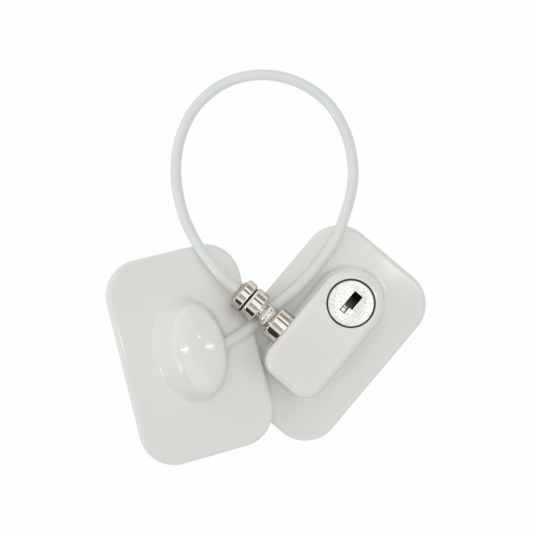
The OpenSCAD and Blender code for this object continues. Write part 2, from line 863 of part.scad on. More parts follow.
// rings of the dome: how far each stands in from the foot, and its height
dome_foot_rings = [[-dome_foot, plate_top - plate_t / 2], [-dome_foot, plate_top],
    [-dome_foot / 4, plate_top + dome_foot / 3], [dome_foot * tan(dome_draft), plate_top + dome_foot]];
function dome_rings(half_b, h, r) = let (fall = tan(dome_crown) / 2, lean = tan(dome_draft),
    rise = h - r * cos(dome_crown) - (half_b - r / cos(dome_draft) + r * sin(dome_crown)) * fall,
    z = rise / (1 - lean * fall), from = quarter - dome_draft)
    [for (i = [0:arc_n]) let (a = from + (dome_crown - from) * i / arc_n)
        [r / cos(dome_draft) + z * lean - r * sin(a), plate_top + z + r * cos(a)]];

// outline of the foot, drawn out so that the rings stand in by less at the dome's ends
function foot_corner(half_b, half_a, a) = [half_b * cos(a), half_a / dome_end_share * sin(a)];
function side_way(p, q) = unit([q[1] - p[1], p[0] - q[0]]);
function corner_way(p, q, r) = (side_way(p, q) + side_way(q, r)) / (1 + side_way(p, q) * side_way(q, r));

module dome(half_b, half_a, h, rings, m) {
    n = len(rings);
    step = 4 * quarter / m;
    corners = [for (k = [-1:m]) foot_corner(half_b, half_a, k * step)];
    points = concat([for (q = rings) for (k = [1:m])
        let (p = corners[k] - q[0] * corner_way(corners[k - 1], corners[k], corners[k + 1]))
        [p[0], dome_y + dome_end_share * p[1], q[1]]],
        [[0, dome_y, plate_top + h]]);
    faces = concat([[for (k = [0:m - 1]) k]],
        [for (i = [0:n - 2]) for (k = [0:m - 1]) let (j = (k + 1) % m)
            [i * m + k, i * m + m + k, i * m + m + j, i * m + j]],
        [for (k = [0:m - 1]) [(n - 1) * m + k, n * m, (n - 1) * m + (k + 1) % m]]);
    polyhedron(points = points, faces = faces);
}

module dome_solid() {
    dome(dome_b, dome_a, dome_h, concat(dome_foot_rings, dome_rings(dome_b, dome_h, dome_edge)), dome_sides);
}

module dome_hollow() {
    half_b = dome_b - dome_wall;
    h = dome_h - dome_wall;
    dome(half_b, dome_a - dome_wall, h,
        concat([[0, floor_z - over]], dome_rings(half_b, h, dome_edge - dome_wall)), hollow_sides);
}

module clamp_places() {
    at_exit()
        for (sy = [-1, 1])
            translate([-ferrule_in - ferrule_l / 2, sy * clamp_screw_y, 0])
                children();
}

module anchor_screw_places() {
    for (sy = [-1, 1])
        translate([0, dome_y + sy * anchor_screw_y, 0])
            children();
}

module anchor_cover() {
    color("white")
        at_anchor()
            difference() {
                union() {
                    base_plate();
                    dome_solid();
                }
                back_recess();
                difference() {
                    dome_hollow();
                    clamp_places()
                        translate([0, 0, -clamp_low])
                            cylinder(h = dome_h, d = clamp_post_d);
                    anchor_screw_places()
                        translate([0, 0, floor_z])
                            cylinder(h = dome_h, d = post_d);
                }
                along_exit(-ferrule_in)
                    cylinder(h = ferrule_in + dome_b, d = cable_d + 2 * lay_gap);
                clamp_places()
                    translate([0, 0, -clamp_deep])
                        cylinder(h = clamp_screw_l, d = clamp_screw_d);
                anchor_screw_places()
                    translate([0, 0, foam_t])
                        cylinder(h = screw_l, d = screw_d);
            }
}

module anchor_back_plate() {
    color("silver")
        at_anchor()
            difference() {
                back_plate();
                anchor_screw_places()
                    translate([0, 0, foam_t]) {
                        cylinder(h = sunk_h, d1 = screw_head_d, d2 = screw_d);
                        cylinder(h = back_t + over, d = screw_d);
                    }
            }
}

module anchor_foam_pad() {
    color("gainsboro")
        at_anchor()
            foam_pad();
}

module anchor_screws() {
    color("gray")
        at_anchor()
            anchor_screw_places()
                translate([0, 0, foam_t])
                    sunk_screw();
}

module cable_ferrule() {
    color("darkgray")
        at_anchor()
            along_exit(-ferrule_in - ferrule_l)
                difference() {
                    cylinder(h = ferrule_l, d = ferrule_d);
                    translate([0, 0, -over])
                        cylinder(h = ferrule_l + 2 * over, d = core_d);
                }
}

module ferrule_clamp() {
    middle = -ferrule_in - ferrule_l / 2;
    color("gray")
        at_anchor()
            difference() {
                at_exit()
                    translate([middle - clamp_l / 2, -clamp_half, -clamp_deep])
                        cube([clamp_l, 2 * clamp_half, clamp_deep - clamp_low]);
                along_exit(middle - clamp_l)
                    cylinder(h = 2 * clamp_l, d = ferrule_d);
                clamp_places()
                    translate([0, 0, -clamp_deep - over])
                        cylinder(h = clamp_deep + 2 * over, d = clamp_screw_d);
                clamp_places()
                    translate([0, 0, -clamp_deep - over])
                        cylinder(h = clamp_head_h + over, d = clamp_head_d);
            }
}

module clamp_screws() {
    color("gray")
        at_anchor()
            clamp_places()
                translate([0, 0, clamp_head_h - clamp_deep])
                    pan_screw(clamp_head_d, clamp_head_h, clamp_screw_d, clamp_screw_l - clamp_head_h);
}

lock_cover();
lock_back_plate();
lock_foam_pad();
lock_screws();
cylinder_housing();
housing_screws();
socket_bush();
bush_nut();
cylinder_rotor();
wafer_1();
wafer_2();
wafer_3();
wafer_4();
wafer_5();
wafer_spring();
rotor_cam();
cam_clip();
latch_fork();
latch_pin();
plug_pin();
crimp_sleeve();
cable_jacket();
cable_core_ends();
anchor_cover();
anchor_back_plate();
anchor_foam_pad();
anchor_screws();
cable_ferrule();
ferrule_clamp();
clamp_screws();
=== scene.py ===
import json
import math
import bpy
import bmesh
from mathutils import Matrix, Vector


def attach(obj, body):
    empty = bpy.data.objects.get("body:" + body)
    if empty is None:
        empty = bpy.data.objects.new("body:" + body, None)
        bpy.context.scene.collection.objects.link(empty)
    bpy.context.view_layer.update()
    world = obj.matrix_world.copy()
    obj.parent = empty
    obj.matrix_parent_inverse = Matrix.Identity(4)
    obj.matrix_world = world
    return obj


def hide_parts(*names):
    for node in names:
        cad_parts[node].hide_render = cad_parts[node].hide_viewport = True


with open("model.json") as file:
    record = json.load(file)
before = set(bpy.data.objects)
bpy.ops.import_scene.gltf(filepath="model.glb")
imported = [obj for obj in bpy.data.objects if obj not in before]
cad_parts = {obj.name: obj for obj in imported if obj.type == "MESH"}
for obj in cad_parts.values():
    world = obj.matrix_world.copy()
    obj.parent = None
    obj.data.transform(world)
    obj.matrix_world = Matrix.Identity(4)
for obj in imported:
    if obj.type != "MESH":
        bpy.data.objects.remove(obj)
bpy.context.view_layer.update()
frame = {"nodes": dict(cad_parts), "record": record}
scene = bpy.context.scene
mm = 0.001
print("frame loaded,", len(frame["nodes"]), "nodes")


# camera, looking straight down

cameraSettings = {
    "place": (-26.83, 4.75, 523.2),
    "turn": 40.1,  # degrees about the line of sight
    "lens": 111.85,
    "sensor": 36,
}


def placeCamera(s):
    data = bpy.data.cameras.new("camera")
    data.lens = s["lens"]
    data.sensor_width = s["sensor"]
    camera = bpy.data.objects.new("camera", data)
    camera.location = Vector(s["place"]) * mm
    camera.rotation_euler = (0, 0, math.radians(s["turn"]))
    scene.collection.objects.link(camera)
    scene.camera = camera


placeCamera(cameraSettings)
print("camera placed")


# node helpers for the finishes

def newFinish(name):
    finish = bpy.data.materials.new(name)
    finish.use_nodes = True
    tree = finish.node_tree
    shader = tree.nodes["Principled BSDF"]
    coords = tree.nodes.new("ShaderNodeTexCoord")
    return finish, tree, shader, coords.outputs["Object"]


def addNoise(tree, coords, scale, detail=3.0, rough=0.5, stretch=None):
    noise = tree.nodes.new("ShaderNodeTexNoise")
    noise.inputs["Scale"].default_value = scale
    noise.inputs["Detail"].default_value = detail
    noise.inputs["Roughness"].default_value = rough
    if stretch:
        mapping = tree.nodes.new("ShaderNodeMapping")
        mapping.inputs["Scale"].default_value = stretch
        tree.links.new(coords, mapping.inputs["Vector"])
        coords = mapping.outputs["Vector"]
    tree.links.new(coords, noise.inputs["Vector"])
    return noise.outputs["Fac"]


def addRamp(tree, factor, stops, target):
    ramp = tree.nodes.new("ShaderNodeValToRGB")
    while len(ramp.color_ramp.elements) < len(stops):
        ramp.color_ramp.elements.new(0.5)
    for element, (place, colour) in zip(ramp.color_ramp.elements, stops):
        element.position = place
        element.color = (*colour, 1)
    tree.links.new(factor, ramp.inputs["Fac"])
    tree.links.new(ramp.outputs["Color"], target)


def addRange(tree, factor, low, high, target):
    spread = tree.nodes.new("ShaderNodeMapRange")
    spread.inputs["From Min"].default_value = 0.3
    spread.inputs["From Max"].default_value = 0.7
    spread.inputs["To Min"].default_value = low
    spread.inputs["To Max"].default_value = high
    tree.links.new(factor, spread.inputs["Value"])
    tree.links.new(spread.outputs["Result"], target)


def addBump(tree, factor, strength, depth, shader):
    bump = tree.nodes.new("ShaderNodeBump")
    bump.inputs["Strength"].default_value = strength
    bump.inputs["Distance"].default_value = depth
    tree.links.new(factor, bump.inputs["Height"])
    tree.links.new(bump.outputs["Normal"], shader.inputs["Normal"])


def addAxes(tree, coords):
    parts = tree.nodes.new("ShaderNodeSeparateXYZ")
    tree.links.new(coords, parts.inputs[0])
    return parts.outputs


def addMath(tree, operation, first, second):
    node = tree.nodes.new("ShaderNodeMath")
    node.operation = operation
    tree.links.new(first, node.inputs[0])
    tree.links.new(second, node.inputs[1])
    return node.outputs[0]


def addBand(tree, place, middle, half):
    # 1 within half of the middle, 0 elsewhere
    band = tree.nodes.new("ShaderNodeMath")
    band.operation = "COMPARE"
    band.inputs[1].default_value = middle * mm
    band.inputs[2].default_value = half * mm
    tree.links.new(place, band.inputs[0])
    return band.outputs[0]


def addRise(tree, place, low, high):
    # from 0 at low to 1 at high
    rise = tree.nodes.new("ShaderNodeMapRange")
    rise.inputs["From Min"].default_value = low * mm
    rise.inputs["From Max"].default_value = high * mm
    tree.links.new(place, rise.inputs["Value"])
    return rise.outputs["Result"]


def addMix(tree, factor, target, blend="MIX"):
    # mixes two colours and returns their sockets; with no factor the second counts in full
    mix = tree.nodes.new("ShaderNodeMix")
    mix.data_type = "RGBA"
    mix.blend_type = blend
    mix.inputs["Factor"].default_value = 1
    if factor:
        tree.links.new(factor, mix.inputs["Factor"])
    tree.links.new(mix.outputs[2], target)
    return mix.inputs[6], mix.inputs[7]


# finishes, one for each slot of the record, and two more for the housing and the wafers

def mouldedPlastic(name, light, dark, glossLow, glossHigh, grain):
    finish, tree, shader, coords = newFinish(name)
    shader.inputs["IOR"].default_value = 1.5
    shader.inputs["Specular IOR Level"].default_value = 0.75
    addRamp(tree, addNoise(tree, coords, 55, 2), [(0.3, dark), (0.7, light)], shader.inputs["Base Color"])
    addRange(tree, addNoise(tree, coords, 900, 3), glossLow, glossHigh, shader.inputs["Roughness"])
    addBump(tree, addNoise(tree, coords, 2400, 4, 0.6), grain, 0.02 * mm, shader)
    return finish


nickelSettings = {
    "gap": (-24.55, 0.29),  # middle and half width of the gap between collar and sleeve, along the plug
    # near black painted shade in that gap
    "gapShade": (0.02, 0.018, 0.015),
}


def polishedNickel(s):
    finish, tree, shader, coords = newFinish("polishedNickel")
    shader.inputs["Metallic"].default_value = 1
    metal, limbReflection = addMix(tree, None, shader.inputs["Base Color"], "MULTIPLY")
    limb = tree.nodes.new("ShaderNodeLayerWeight")  # painted reflection: browner where the plating is seen at a slant
    limb.inputs["Blend"].default_value = 0.5
    addRamp(tree, limb.outputs["Facing"], [(0.4, (1, 1, 1)), (0.6, (0.66, 0.62, 0.56))], limbReflection)
    # painted shade: a near black band darkens the gap between collar and sleeve
    plating, gapShade = addMix(tree, addBand(tree, addAxes(tree, coords)["X"], *s["gap"]), metal)
    addRamp(tree, addNoise(tree, coords, 260, 3),
            [(0.3, (0.70, 0.665, 0.61)), (0.7, (0.78, 0.75, 0.70))], plating)
    gapShade.default_value = (*s["gapShade"], 1)
    addRange(tree, addNoise(tree, coords, 1400, 4), 0.05, 0.14, shader.inputs["Roughness"])
    turning = addNoise(tree, coords, 5200, 3, 0.6, (1, 0.03, 0.03))  # tool lines run round the axis
    addBump(tree, turning, 0.1, 0.006 * mm, shader)
    return finish


discSettings = {
    "face": (21.0, 21.3),  # heights between which the painted shade inside the keyway gives way to the bare disc
    "keywayShade": (11, 15),  # the painted shade is lightest at the keyway's near end and blackest at its far end
}


def blastedMetal(s):
    finish, tree, shader, coords = newFinish("blastedMetal")
    shader.inputs["Metallic"].default_value = 1
    grains = addNoise(tree, coords, 2600, 5, 0.7)
    axes = addAxes(tree, coords)
    # painted shade inside the keyway, darkest at its far end; the disc's face above keeps its grain
    inside, face = addMix(tree, addRise(tree, axes["Z"], *s["face"]), shader.inputs["Base Color"])
    addRamp(tree, addRise(tree, axes["Y"], *s["keywayShade"]),
            [(0, (0.62, 0.54, 0.42)), (0.4, (0.22, 0.19, 0.14)), (1, (0.03, 0.025, 0.018))], inside)
    addRamp(tree, grains,
            [(0.34, (0.42, 0.41, 0.395)), (0.46, (0.86, 0.86, 0.845)), (0.6, (0.98, 0.98, 0.965))], face)
    addRange(tree, addNoise(tree, coords, 2600, 3), 0.36, 0.5, shader.inputs["Roughness"])
    addBump(tree, grains, 0.5, 0.03 * mm, shader)
    return finish


def plainMetal(name, light, dark, glossLow, glossHigh, stretch):
    finish, tree, shader, coords = newFinish(name)
    shader.inputs["Metallic"].default_value = 1
    addRamp(tree, addNoise(tree, coords, 420, 4), [(0.3, dark), (0.7, light)], shader.inputs["Base Color"])
    addRange(tree, addNoise(tree, coords, 1800, 4), glossLow, glossHigh, shader.inputs["Roughness"])
    addBump(tree, addNoise(tree, coords, 3600, 4, 0.6, stretch), 0.2, 0.015 * mm, shader)
    return finish


waferSettings = {
    # painted light on the wafers where the keyway's tail lets light in, each a middle and a half width
    "paintedLightSpots": [(9.84, 0.54), (10.96, 0.32)],  # along the keyway
    "across": (-0.47, 0.63),
}


def waferMetal(s):
    finish, tree, shader, coords = newFinish("waferSteelPaintedLightShade")
    shader.inputs["Metallic"].default_value = 1
    axes = addAxes(tree, coords)
    along = addMath(tree, "ADD", *[addBand(tree, axes["Y"], *patch) for patch in s["paintedLightSpots"]])
    litPatchMask = addMath(tree, "MULTIPLY", along, addBand(tree, axes["X"], *s["across"]))
    # the steel is painted near black as shade inside the lock, and the spots take painted light
    dark, bright = addMix(tree, litPatchMask, shader.inputs["Base Color"])
    waferSpeckle = addNoise(tree, coords, 900, 3)
    addRamp(tree, waferSpeckle, [(0.3, (0.04, 0.034, 0.026)), (0.7, (0.10, 0.088, 0.07))], dark)
    addRamp(tree, waferSpeckle, [(0.3, (0.93, 0.92, 0.88)), (0.7, (1, 1, 0.98))], bright)
    addRange(tree, addNoise(tree, coords, 1800, 4), 0.24, 0.4, shader.inputs["Roughness"])
    return finish


def foamFinish():
    finish, tree, shader, coords = newFinish("foam")
    cells = tree.nodes.new("ShaderNodeTexVoronoi")
    cells.inputs["Scale"].default_value = 2600
    tree.links.new(coords, cells.inputs["Vector"])
    addRamp(tree, cells.outputs["Distance"], [(0.1, (0.70, 0.70, 0.68)), (0.5, (0.84, 0.84, 0.82))],
            shader.inputs["Base Color"])
    addRange(tree, addNoise(tree, coords, 1500, 3), 0.75, 0.95, shader.inputs["Roughness"])
    addBump(tree, cells.outputs["Distance"], 0.6, 0.08 * mm, shader)
    return finish


def cableFinish():
    finish, tree, shader, coords = newFinish("cablePlastic")
    shader.inputs["IOR"].default_value = 1.5
    along = tree.nodes.new("ShaderNodeAttribute")
    along.attribute_name = "along"
    drawn = tree.nodes.new("ShaderNodeTexNoise")  # slow change of tint along the extruded jacket
    drawn.noise_dimensions = "1D"
    drawn.inputs["Scale"].default_value = 60
    tree.links.new(along.outputs["Fac"], drawn.inputs["W"])
    addRamp(tree, drawn.outputs["Fac"], [(0.3, (0.83, 0.868, 0.835)), (0.7, (0.86, 0.892, 0.865))],
            shader.inputs["Base Color"])
    addRange(tree, addNoise(tree, coords, 1200, 3), 0.14, 0.22, shader.inputs["Roughness"])
    addBump(tree, addNoise(tree, coords, 2800, 3), 0.06, 0.015 * mm, shader)
    return finish


finishes = {
    "white_plastic": mouldedPlastic(
        "whitePlastic", (0.9, 0.89, 0.864), (0.88, 0.87, 0.844), 0.05, 0.09, 0.03),
    "back_plastic": mouldedPlastic(
        "backPlastic", (0.70, 0.70, 0.68), (0.66, 0.66, 0.64), 0.45, 0.6, 0.25),
    "foam": foamFinish(),
    "steel": plainMetal("steel", (0.66, 0.67, 0.68), (0.54, 0.55, 0.56), 0.24, 0.42, (1, 1, 0.1)),
    "zinc": plainMetal("zincCasting", (0.58, 0.59, 0.60), (0.46, 0.47, 0.48), 0.4, 0.6, (1, 1, 1)),
    "nickel": polishedNickel(nickelSettings),
    "blasted_metal": blastedMetal(discSettings),
    "brass": plainMetal("brass", (0.80, 0.66, 0.40), (0.68, 0.54, 0.30), 0.2, 0.35, (1, 0.1, 1)),
    "cable_plastic": cableFinish(),
}
nodeFinishes = {
    # the housing is painted dark as shade in the ring round the disc
    "cylinder_housing": plainMetal(
        "zincPaintedShade", (0.20, 0.18, 0.15), (0.12, 0.105, 0.085), 0.45, 0.65, (1, 1, 1)),
    **dict.fromkeys(("wafer_1", "wafer_2", "wafer_3", "wafer_4", "wafer_5"), waferMetal(waferSettings)),
}
print("finishes made,", len(finishes) + len(set(nodeFinishes.values())))


# mesh helpers

def newPiece(name, mesh, slot, sharp=35):
    piece = bpy.data.objects.new(name, mesh)
    scene.collection.objects.link(piece)
    mesh.materials.clear()
    mesh.materials.append(finishes[slot])
    mesh.shade_smooth()
    mesh.set_sharp_from_angle(angle=math.radians(sharp))
    return piece


def ringMesh(name, rings, closed):
    # rings of points in millimetres; a ring of one point is a pole
    mesh = bpy.data.meshes.new(name)
    work = bmesh.new()
    made = [[work.verts.new(Vector(p) * mm) for p in ring] for ring in rings]
    pairs = list(zip(made, made[1:]))
    if closed:
        pairs.append((made[-1], made[0]))
    for a, b in pairs:
        count = max(len(a), len(b))
        for i in range(count):
            j = (i + 1) % count
            corners = [a[i % len(a)], a[j % len(a)], b[j % len(b)], b[i % len(b)]]
            work.faces.new(list(dict.fromkeys(corners)))
    bmesh.ops.recalc_face_normals(work, faces=work.faces[:])
    work.to_mesh(mesh)
    work.free()
    return mesh


def softCorners(profile, radius, closed, steps=4, most=0.45):
    # rounds each corner of a profile of (along, out) points, using up at most that share of a side
    count = len(profile)
    rounded = []
    for i, corner in enumerate(profile):
        here = Vector(corner)
        if not closed and i in (0, count - 1):
            rounded.append(here)
            continue
        before = Vector(profile[i - 1]) - here
        after = Vector(profile[(i + 1) % count]) - here
        cut = min(radius, most * before.length, most * after.length)
        start = here + before.normalized() * cut
        end = here + after.normalized() * cut
        for k in range(steps + 1):
            t = k / steps
            rounded.append(start * (1 - t) ** 2 + here * 2 * t * (1 - t) + end * t ** 2)
    return rounded


def turnedMesh(name, profile, place, axis, closed, sides):
    axis = Vector(axis).normalized()
    side = axis.orthogonal().normalized()
    up = axis.cross(side)
    rings = []
    for along, out in profile:
        centre = Vector(place) + axis * along
        if out < 1e-6:
            rings.append([centre])
            continue
        rings.append([centre + (side * math.cos(a) + up * math.sin(a)) * out
                      for a in (2 * math.pi * k / sides for k in range(sides))])
    return ringMesh(name, rings, closed)


def carve(piece, other, operation):
    # cuts or joins another solid, which is then dropped
    modifier = piece.modifiers.new("carve", "BOOLEAN")
    modifier.operation = operation
    modifier.solver = "EXACT"
    modifier.object = other
    depsgraph = bpy.context.evaluated_depsgraph_get()
    mesh = bpy.data.meshes.new_from_object(piece.evaluated_get(depsgraph))
    piece.modifiers.remove(modifier)
    mesh.name = piece.data.name
    piece.data = mesh
    bpy.data.objects.remove(other)


def finishPiece(piece, body, slot, *nodes):
    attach(piece, body)
    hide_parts(*nodes)
    print(piece.name, len(piece.data.polygons), "faces")


# cable, from the dome round the loop to the plug

cableSettings = {
    "diameter": 3.4,
    "sides": 24,
    "spacing": 0.8,
    "samples": 16,  # between two points of the route
    "route": [  # the first point lies inside the dome, the second at its wall
        (-23.07, -26.58, 15.7), (-21.17, -21.24, 13.72), (-19.02, -15.19, 11.48), (-17.6, -7, 8.7),
        (-16.3, -0.5, 7), (-15.2, 6.3, 5.75), (-14.9, 15.1, 5), (-15.6, 24, 5),
        (-17.9, 31.5, 4.84), (-21.3, 39.3, 3.24), (-25.8, 45.8, 2.28), (-34.3, 52.7, 1.7),
        (-45.3, 56.6, 1.7), (-57, 55.4, 1.7), (-67.3, 49.6, 1.7), (-74.2, 40, 1.83),
        (-76.1, 28.4, 2.6), (-73, 17.3, 4.52), (-66.3, 7.9, 7.72), (-57, 0.6, 11.56),
        (-47.7, -3.6, 13.92), (-38.8, -5.8, 14.5), (-32.5, -6.7, 14.5), (-29.1, -6.7, 14.5),
    ],
}


def smoothRoute(points, samples):
    points = [Vector(p) for p in points]
    points = [points[0] * 2 - points[1]] + points + [points[-1] * 2 - points[-2]]
    line = []
    for a, b, c, d in zip(points, points[1:], points[2:], points[3:]):
        for k in range(samples):
            t = k / samples
            line.append((b * 2 + (c - a) * t + (a * 2 - b * 5 + c * 4 - d) * t ** 2
                         + (b * 3 - a - c * 3 + d) * t ** 3) / 2)
    return line + [points[-2]]


def tubeTree():
    tree = bpy.data.node_groups.new("cableTube", "GeometryNodeTree")
    face = tree.interface
    face.new_socket("Line", in_out="INPUT", socket_type="NodeSocketGeometry")
    face.new_socket("Diameter", in_out="INPUT", socket_type="NodeSocketFloat")
    face.new_socket("Spacing", in_out="INPUT", socket_type="NodeSocketFloat")
    face.new_socket("Sides", in_out="INPUT", socket_type="NodeSocketInt")
    face.new_socket("Finish", in_out="INPUT", socket_type="NodeSocketMaterial")
    face.new_socket("Tube", in_out="OUTPUT", socket_type="NodeSocketGeometry")
    add, link = tree.nodes.new, tree.links.new
    given = add("NodeGroupInput")
    even = add("GeometryNodeResampleCurve")
    even.mode = "LENGTH"
    place = add("GeometryNodeSplineParameter")
    store = add("GeometryNodeStoreNamedAttribute")  # distance along the cable, for its finish
    store.data_type = "FLOAT"
    store.inputs["Name"].default_value = "along"
    half = add("ShaderNodeMath")
    half.operation = "MULTIPLY"
    half.inputs[1].default_value = 0.5
    ring = add("GeometryNodeCurvePrimitiveCircle")
    sweep = add("GeometryNodeCurveToMesh")
    sweep.inputs["Fill Caps"].default_value = True
    real = add("GeometryNodeRealizeInstances")
    paint = add("GeometryNodeSetMaterial")
    result = add("NodeGroupOutput")
    link(given.outputs["Line"], even.inputs["Curve"])
    link(given.outputs["Spacing"], even.inputs["Length"])
    link(even.outputs["Curve"], store.inputs["Geometry"])
    link(place.outputs["Length"], store.inputs["Value"])
    link(store.outputs["Geometry"], sweep.inputs["Curve"])
    link(given.outputs["Diameter"], half.inputs[0])
    link(half.outputs[0], ring.inputs["Radius"])
    link(given.outputs["Sides"], ring.inputs["Resolution"])
    link(ring.outputs["Curve"], sweep.inputs["Profile Curve"])
    link(sweep.outputs["Mesh"], real.inputs["Geometry"])
    link(real.outputs["Geometry"], paint.inputs["Geometry"])
    link(given.outputs["Finish"], paint.inputs["Material"])
    link(paint.outputs["Geometry"], result.inputs["Tube"])
    return tree


def nodesMesh(name, source, tree, inputs):
    # runs a node tree on an object and keeps the result as a plain mesh
    modifier = source.modifiers.new("nodes", "NODES")
    modifier.node_group = tree
    for item in tree.interface.items_tree:
        if item.in_out == "INPUT" and item.name in inputs:
            modifier[item.identifier] = inputs[item.name]
    depsgraph = bpy.context.evaluated_depsgraph_get()
    mesh = bpy.data.meshes.new_from_object(source.evaluated_get(depsgraph))
    mesh.name = name
    source.modifiers.remove(modifier)
    bpy.data.objects.remove(source)
    return mesh


def makeCable(s):
    line = [p * mm for p in smoothRoute(s["route"], s["samples"])]
    curve = bpy.data.curves.new("cableLine", "CURVE")
    curve.dimensions = "3D"
    spline = curve.splines.new("POLY")
    spline.points.add(len(line) - 1)
    for point, place in zip(spline.points, line):
        point.co = (*place, 1)
    source = bpy.data.objects.new("cableLine", curve)
    scene.collection.objects.link(source)
    mesh = nodesMesh("cable", source, tubeTree(), {
        "Diameter": s["diameter"] * mm, "Spacing": s["spacing"] * mm, "Sides": s["sides"],
        "Finish": finishes["cable_plastic"]})
    return newPiece("cable", mesh, "cable_plastic", sharp=60), line


cable, cableLine = makeCable(cableSettings)
finishPiece(cable, "tether", "cable_plastic", "cable_jacket")


# turned metal: socket bush, plug and crimp sleeve, along the plug's axis

plugSettings = {
    "axis": (0, -6.7, 14.5),  # a point on it
    "way": (1, 0, 0),
    "sides": 160,
    "soft": 0.14,
    # profiles of (along, out) points
    "bush": [(-14.8, 2.68), (-14.8, 4.9), (-14.5, 5.2), (-10, 5.2), (-10, 4), (-5.9, 4), (-5.9, 2.68)],
    # the bush's hole in the cover
    "seat": [(-16, 0), (-16, 5.3), (-10, 5.3), (-10, 4.02), (-7, 4.02), (-7, 0)],
    "seatSides": 96,
    # the step at 4.4 is a washer in the swivel gap, darkened by the painted gap shade
    "pinRear": [(-26.6, 0), (-26.6, 2.5), (-25.6, 2.5), (-25.6, 1.6), (-24.74, 1.6), (-24.74, 4.4),
                (-24.3, 4.4), (-24.3, 4.8), (-23.6, 5.2), (-20.1, 5.2), (-19.8, 4.9), (-19.8, 2.2),
                (-18.8, 2.2)],
    "bead": (-16.95, 1.85, 3.55, 0.85),  # middle, half length, radius, fall at its ends
    "beadSteps": 6,  # on each side of its middle
    "pinFront": [(-15.1, 2.6), (-1.2, 2.6), (-1.2, 1.6), (1.2, 1.6), (1.2, 2.6), (4.2, 2.6), (5, 1.8),
                 (5, 0)],
    "sleeve": [(-27.3, 0), (-27.3, 1), (-29.1, 1), (-29.1, 2.6), (-27.8, 5.25), (-25.1, 5.25),
               (-24.8, 4.95), (-24.8, 1.68), (-25.3, 1.68), (-25.3, 2.8), (-26.9, 2.8), (-26.9, 0)],
}


def makeTurned(name, profile, closed, s):
    profile = softCorners(profile, s["soft"], closed)
    mesh = turnedMesh(name, profile, s["axis"], s["way"], closed, s["sides"])
    return newPiece(name, mesh, "nickel", sharp=40)


def pinProfile(s):
    middle, half, radius, fall = s["bead"]
    steps = s["beadSteps"]
    shares = [k / steps for k in range(-steps, steps + 1)]
    bead = [(middle + half * t, radius - fall * t * t) for t in shares]
    return s["pinRear"] + bead + s["pinFront"]


socketBush = makeTurned("socketBush", plugSettings["bush"], True, plugSettings)
plugPin = makeTurned("plugPin", pinProfile(plugSettings), False, plugSettings)
crimpSleeve = makeTurned("crimpSleeve", plugSettings["sleeve"], False, plugSettings)
finishPiece(socketBush, "lock", "nickel", "socket_bush")
finishPiece(plugPin, "plug", "nickel", "plug_pin")
finishPiece(crimpSleeve, "tether", "nickel", "crimp_sleeve")


# moulded covers

plateSettings = {
    "halfWidth": 21.8,
    "halfLength": 32,
    "corner": 11.2,
    "low": 0.8,  # on the foam pad
    "top": 3.2,
    "rim": 1.4,
    "lip": 0.25,  # rounding of the lower edge
    "recess": 2.4,  # width of the rim round the back plate
    "recessTop": 2,
    "hold": 0.25,  # width of the strips that keep the flats flat beside a rounding
    "points": 400,
    "lipSteps": 3,
    "rimSteps": 10,
}
bodySettings = {
    "halfWidth": 10,
    "nearEnd": -19.3,
    "nearCorner": 5.6,
    "cylinder": 12.7,  # its axis, along the plate
    "draft": 1.1,  # how far the wall's foot stands out past its top
    "foot": 1.2,
    "edge": 2.2,
    "top": 21.3,
    "wall": 1.8,
    "hole": 7.5,
    "holeEdge": 0.2,
    "roofHold": 0.02,  # the roof is narrow round the disc
    "footSteps": 8,
    "wallSteps": 6,
    "edgeSteps": 12,
    "holeSteps": 4,
    "posts": [  # place, low, high, radius, bore
        ((-4.2, -14), 2, 20.2, 2.2, 0.9), ((4.2, -14), 2, 20.2, 2.2, 0.9),
        ((-5.5, 2.6), 10.4, 20.2, 2.2, 0.9), ((5.5, 2.6), 10.4, 20.2, 2.2, 0.9),
    ],
}
coverSettings = {
    "postSides": 48,
    "sharp": 35,  # degrees; flatter edges are shaded smooth
}


def roundedOutline(half, low, high, lowCorner, highCorner, count):
    # points and outward normals of a rounded rectangle, evenly spaced from the middle of its far end
    stretches = []
    for start, end, way in (
            ((0, high), (highCorner - half, high), (0, 1)),
            ((-half, high - highCorner), (-half, low + lowCorner), (-1, 0)),
            ((lowCorner - half, low), (half - lowCorner, low), (0, -1)),
            ((half, low + lowCorner), (half, high - highCorner), (1, 0)),
            ((half - highCorner, high), (0, high), (0, 1))):
        start, end = Vector(start), Vector(end)
        stretches.append(("line", start, end, Vector(way), (end - start).length))
    arcs = [
        ((highCorner - half, high - highCorner), 90, highCorner),
        ((lowCorner - half, low + lowCorner), 180, lowCorner),
        ((half - lowCorner, low + lowCorner), 270, lowCorner),
        ((half - highCorner, high - highCorner), 0, highCorner),
    ]
    order = []
    for i, line in enumerate(stretches):
        order.append(line)
        if i < len(arcs):
            centre, turn, radius = arcs[i]
            order.append(("arc", Vector(centre), turn, radius, radius * math.pi / 2))
    whole = sum(piece[-1] for piece in order)
    outline = []
    for i in range(count):
        rest = whole * i / count
        for piece in order:
            if rest <= piece[-1]:
                break
            rest -= piece[-1]
        if piece[0] == "line":
            share = rest / max(piece[-1], 1e-9)
            outline.append((piece[1].lerp(piece[2], share), piece[3]))
        else:
            turn = math.radians(piece[2] + 90 * rest / piece[-1])
            way = Vector((math.cos(turn), math.sin(turn)))
            outline.append((piece[1] + way * piece[3], way))
    return outline


def offsetRing(outline, out, z):
    return [(*(p + n * out), z) for p, n in outline]


def arcSteps(start, end, steps):
    return [math.radians(start + (end - start) * k / steps) for k in range(steps + 1)]


def plateOutline(s):
    half, corner = s["halfLength"], s["corner"]
    return roundedOutline(s["halfWidth"], -half, half, corner, corner, s["points"])


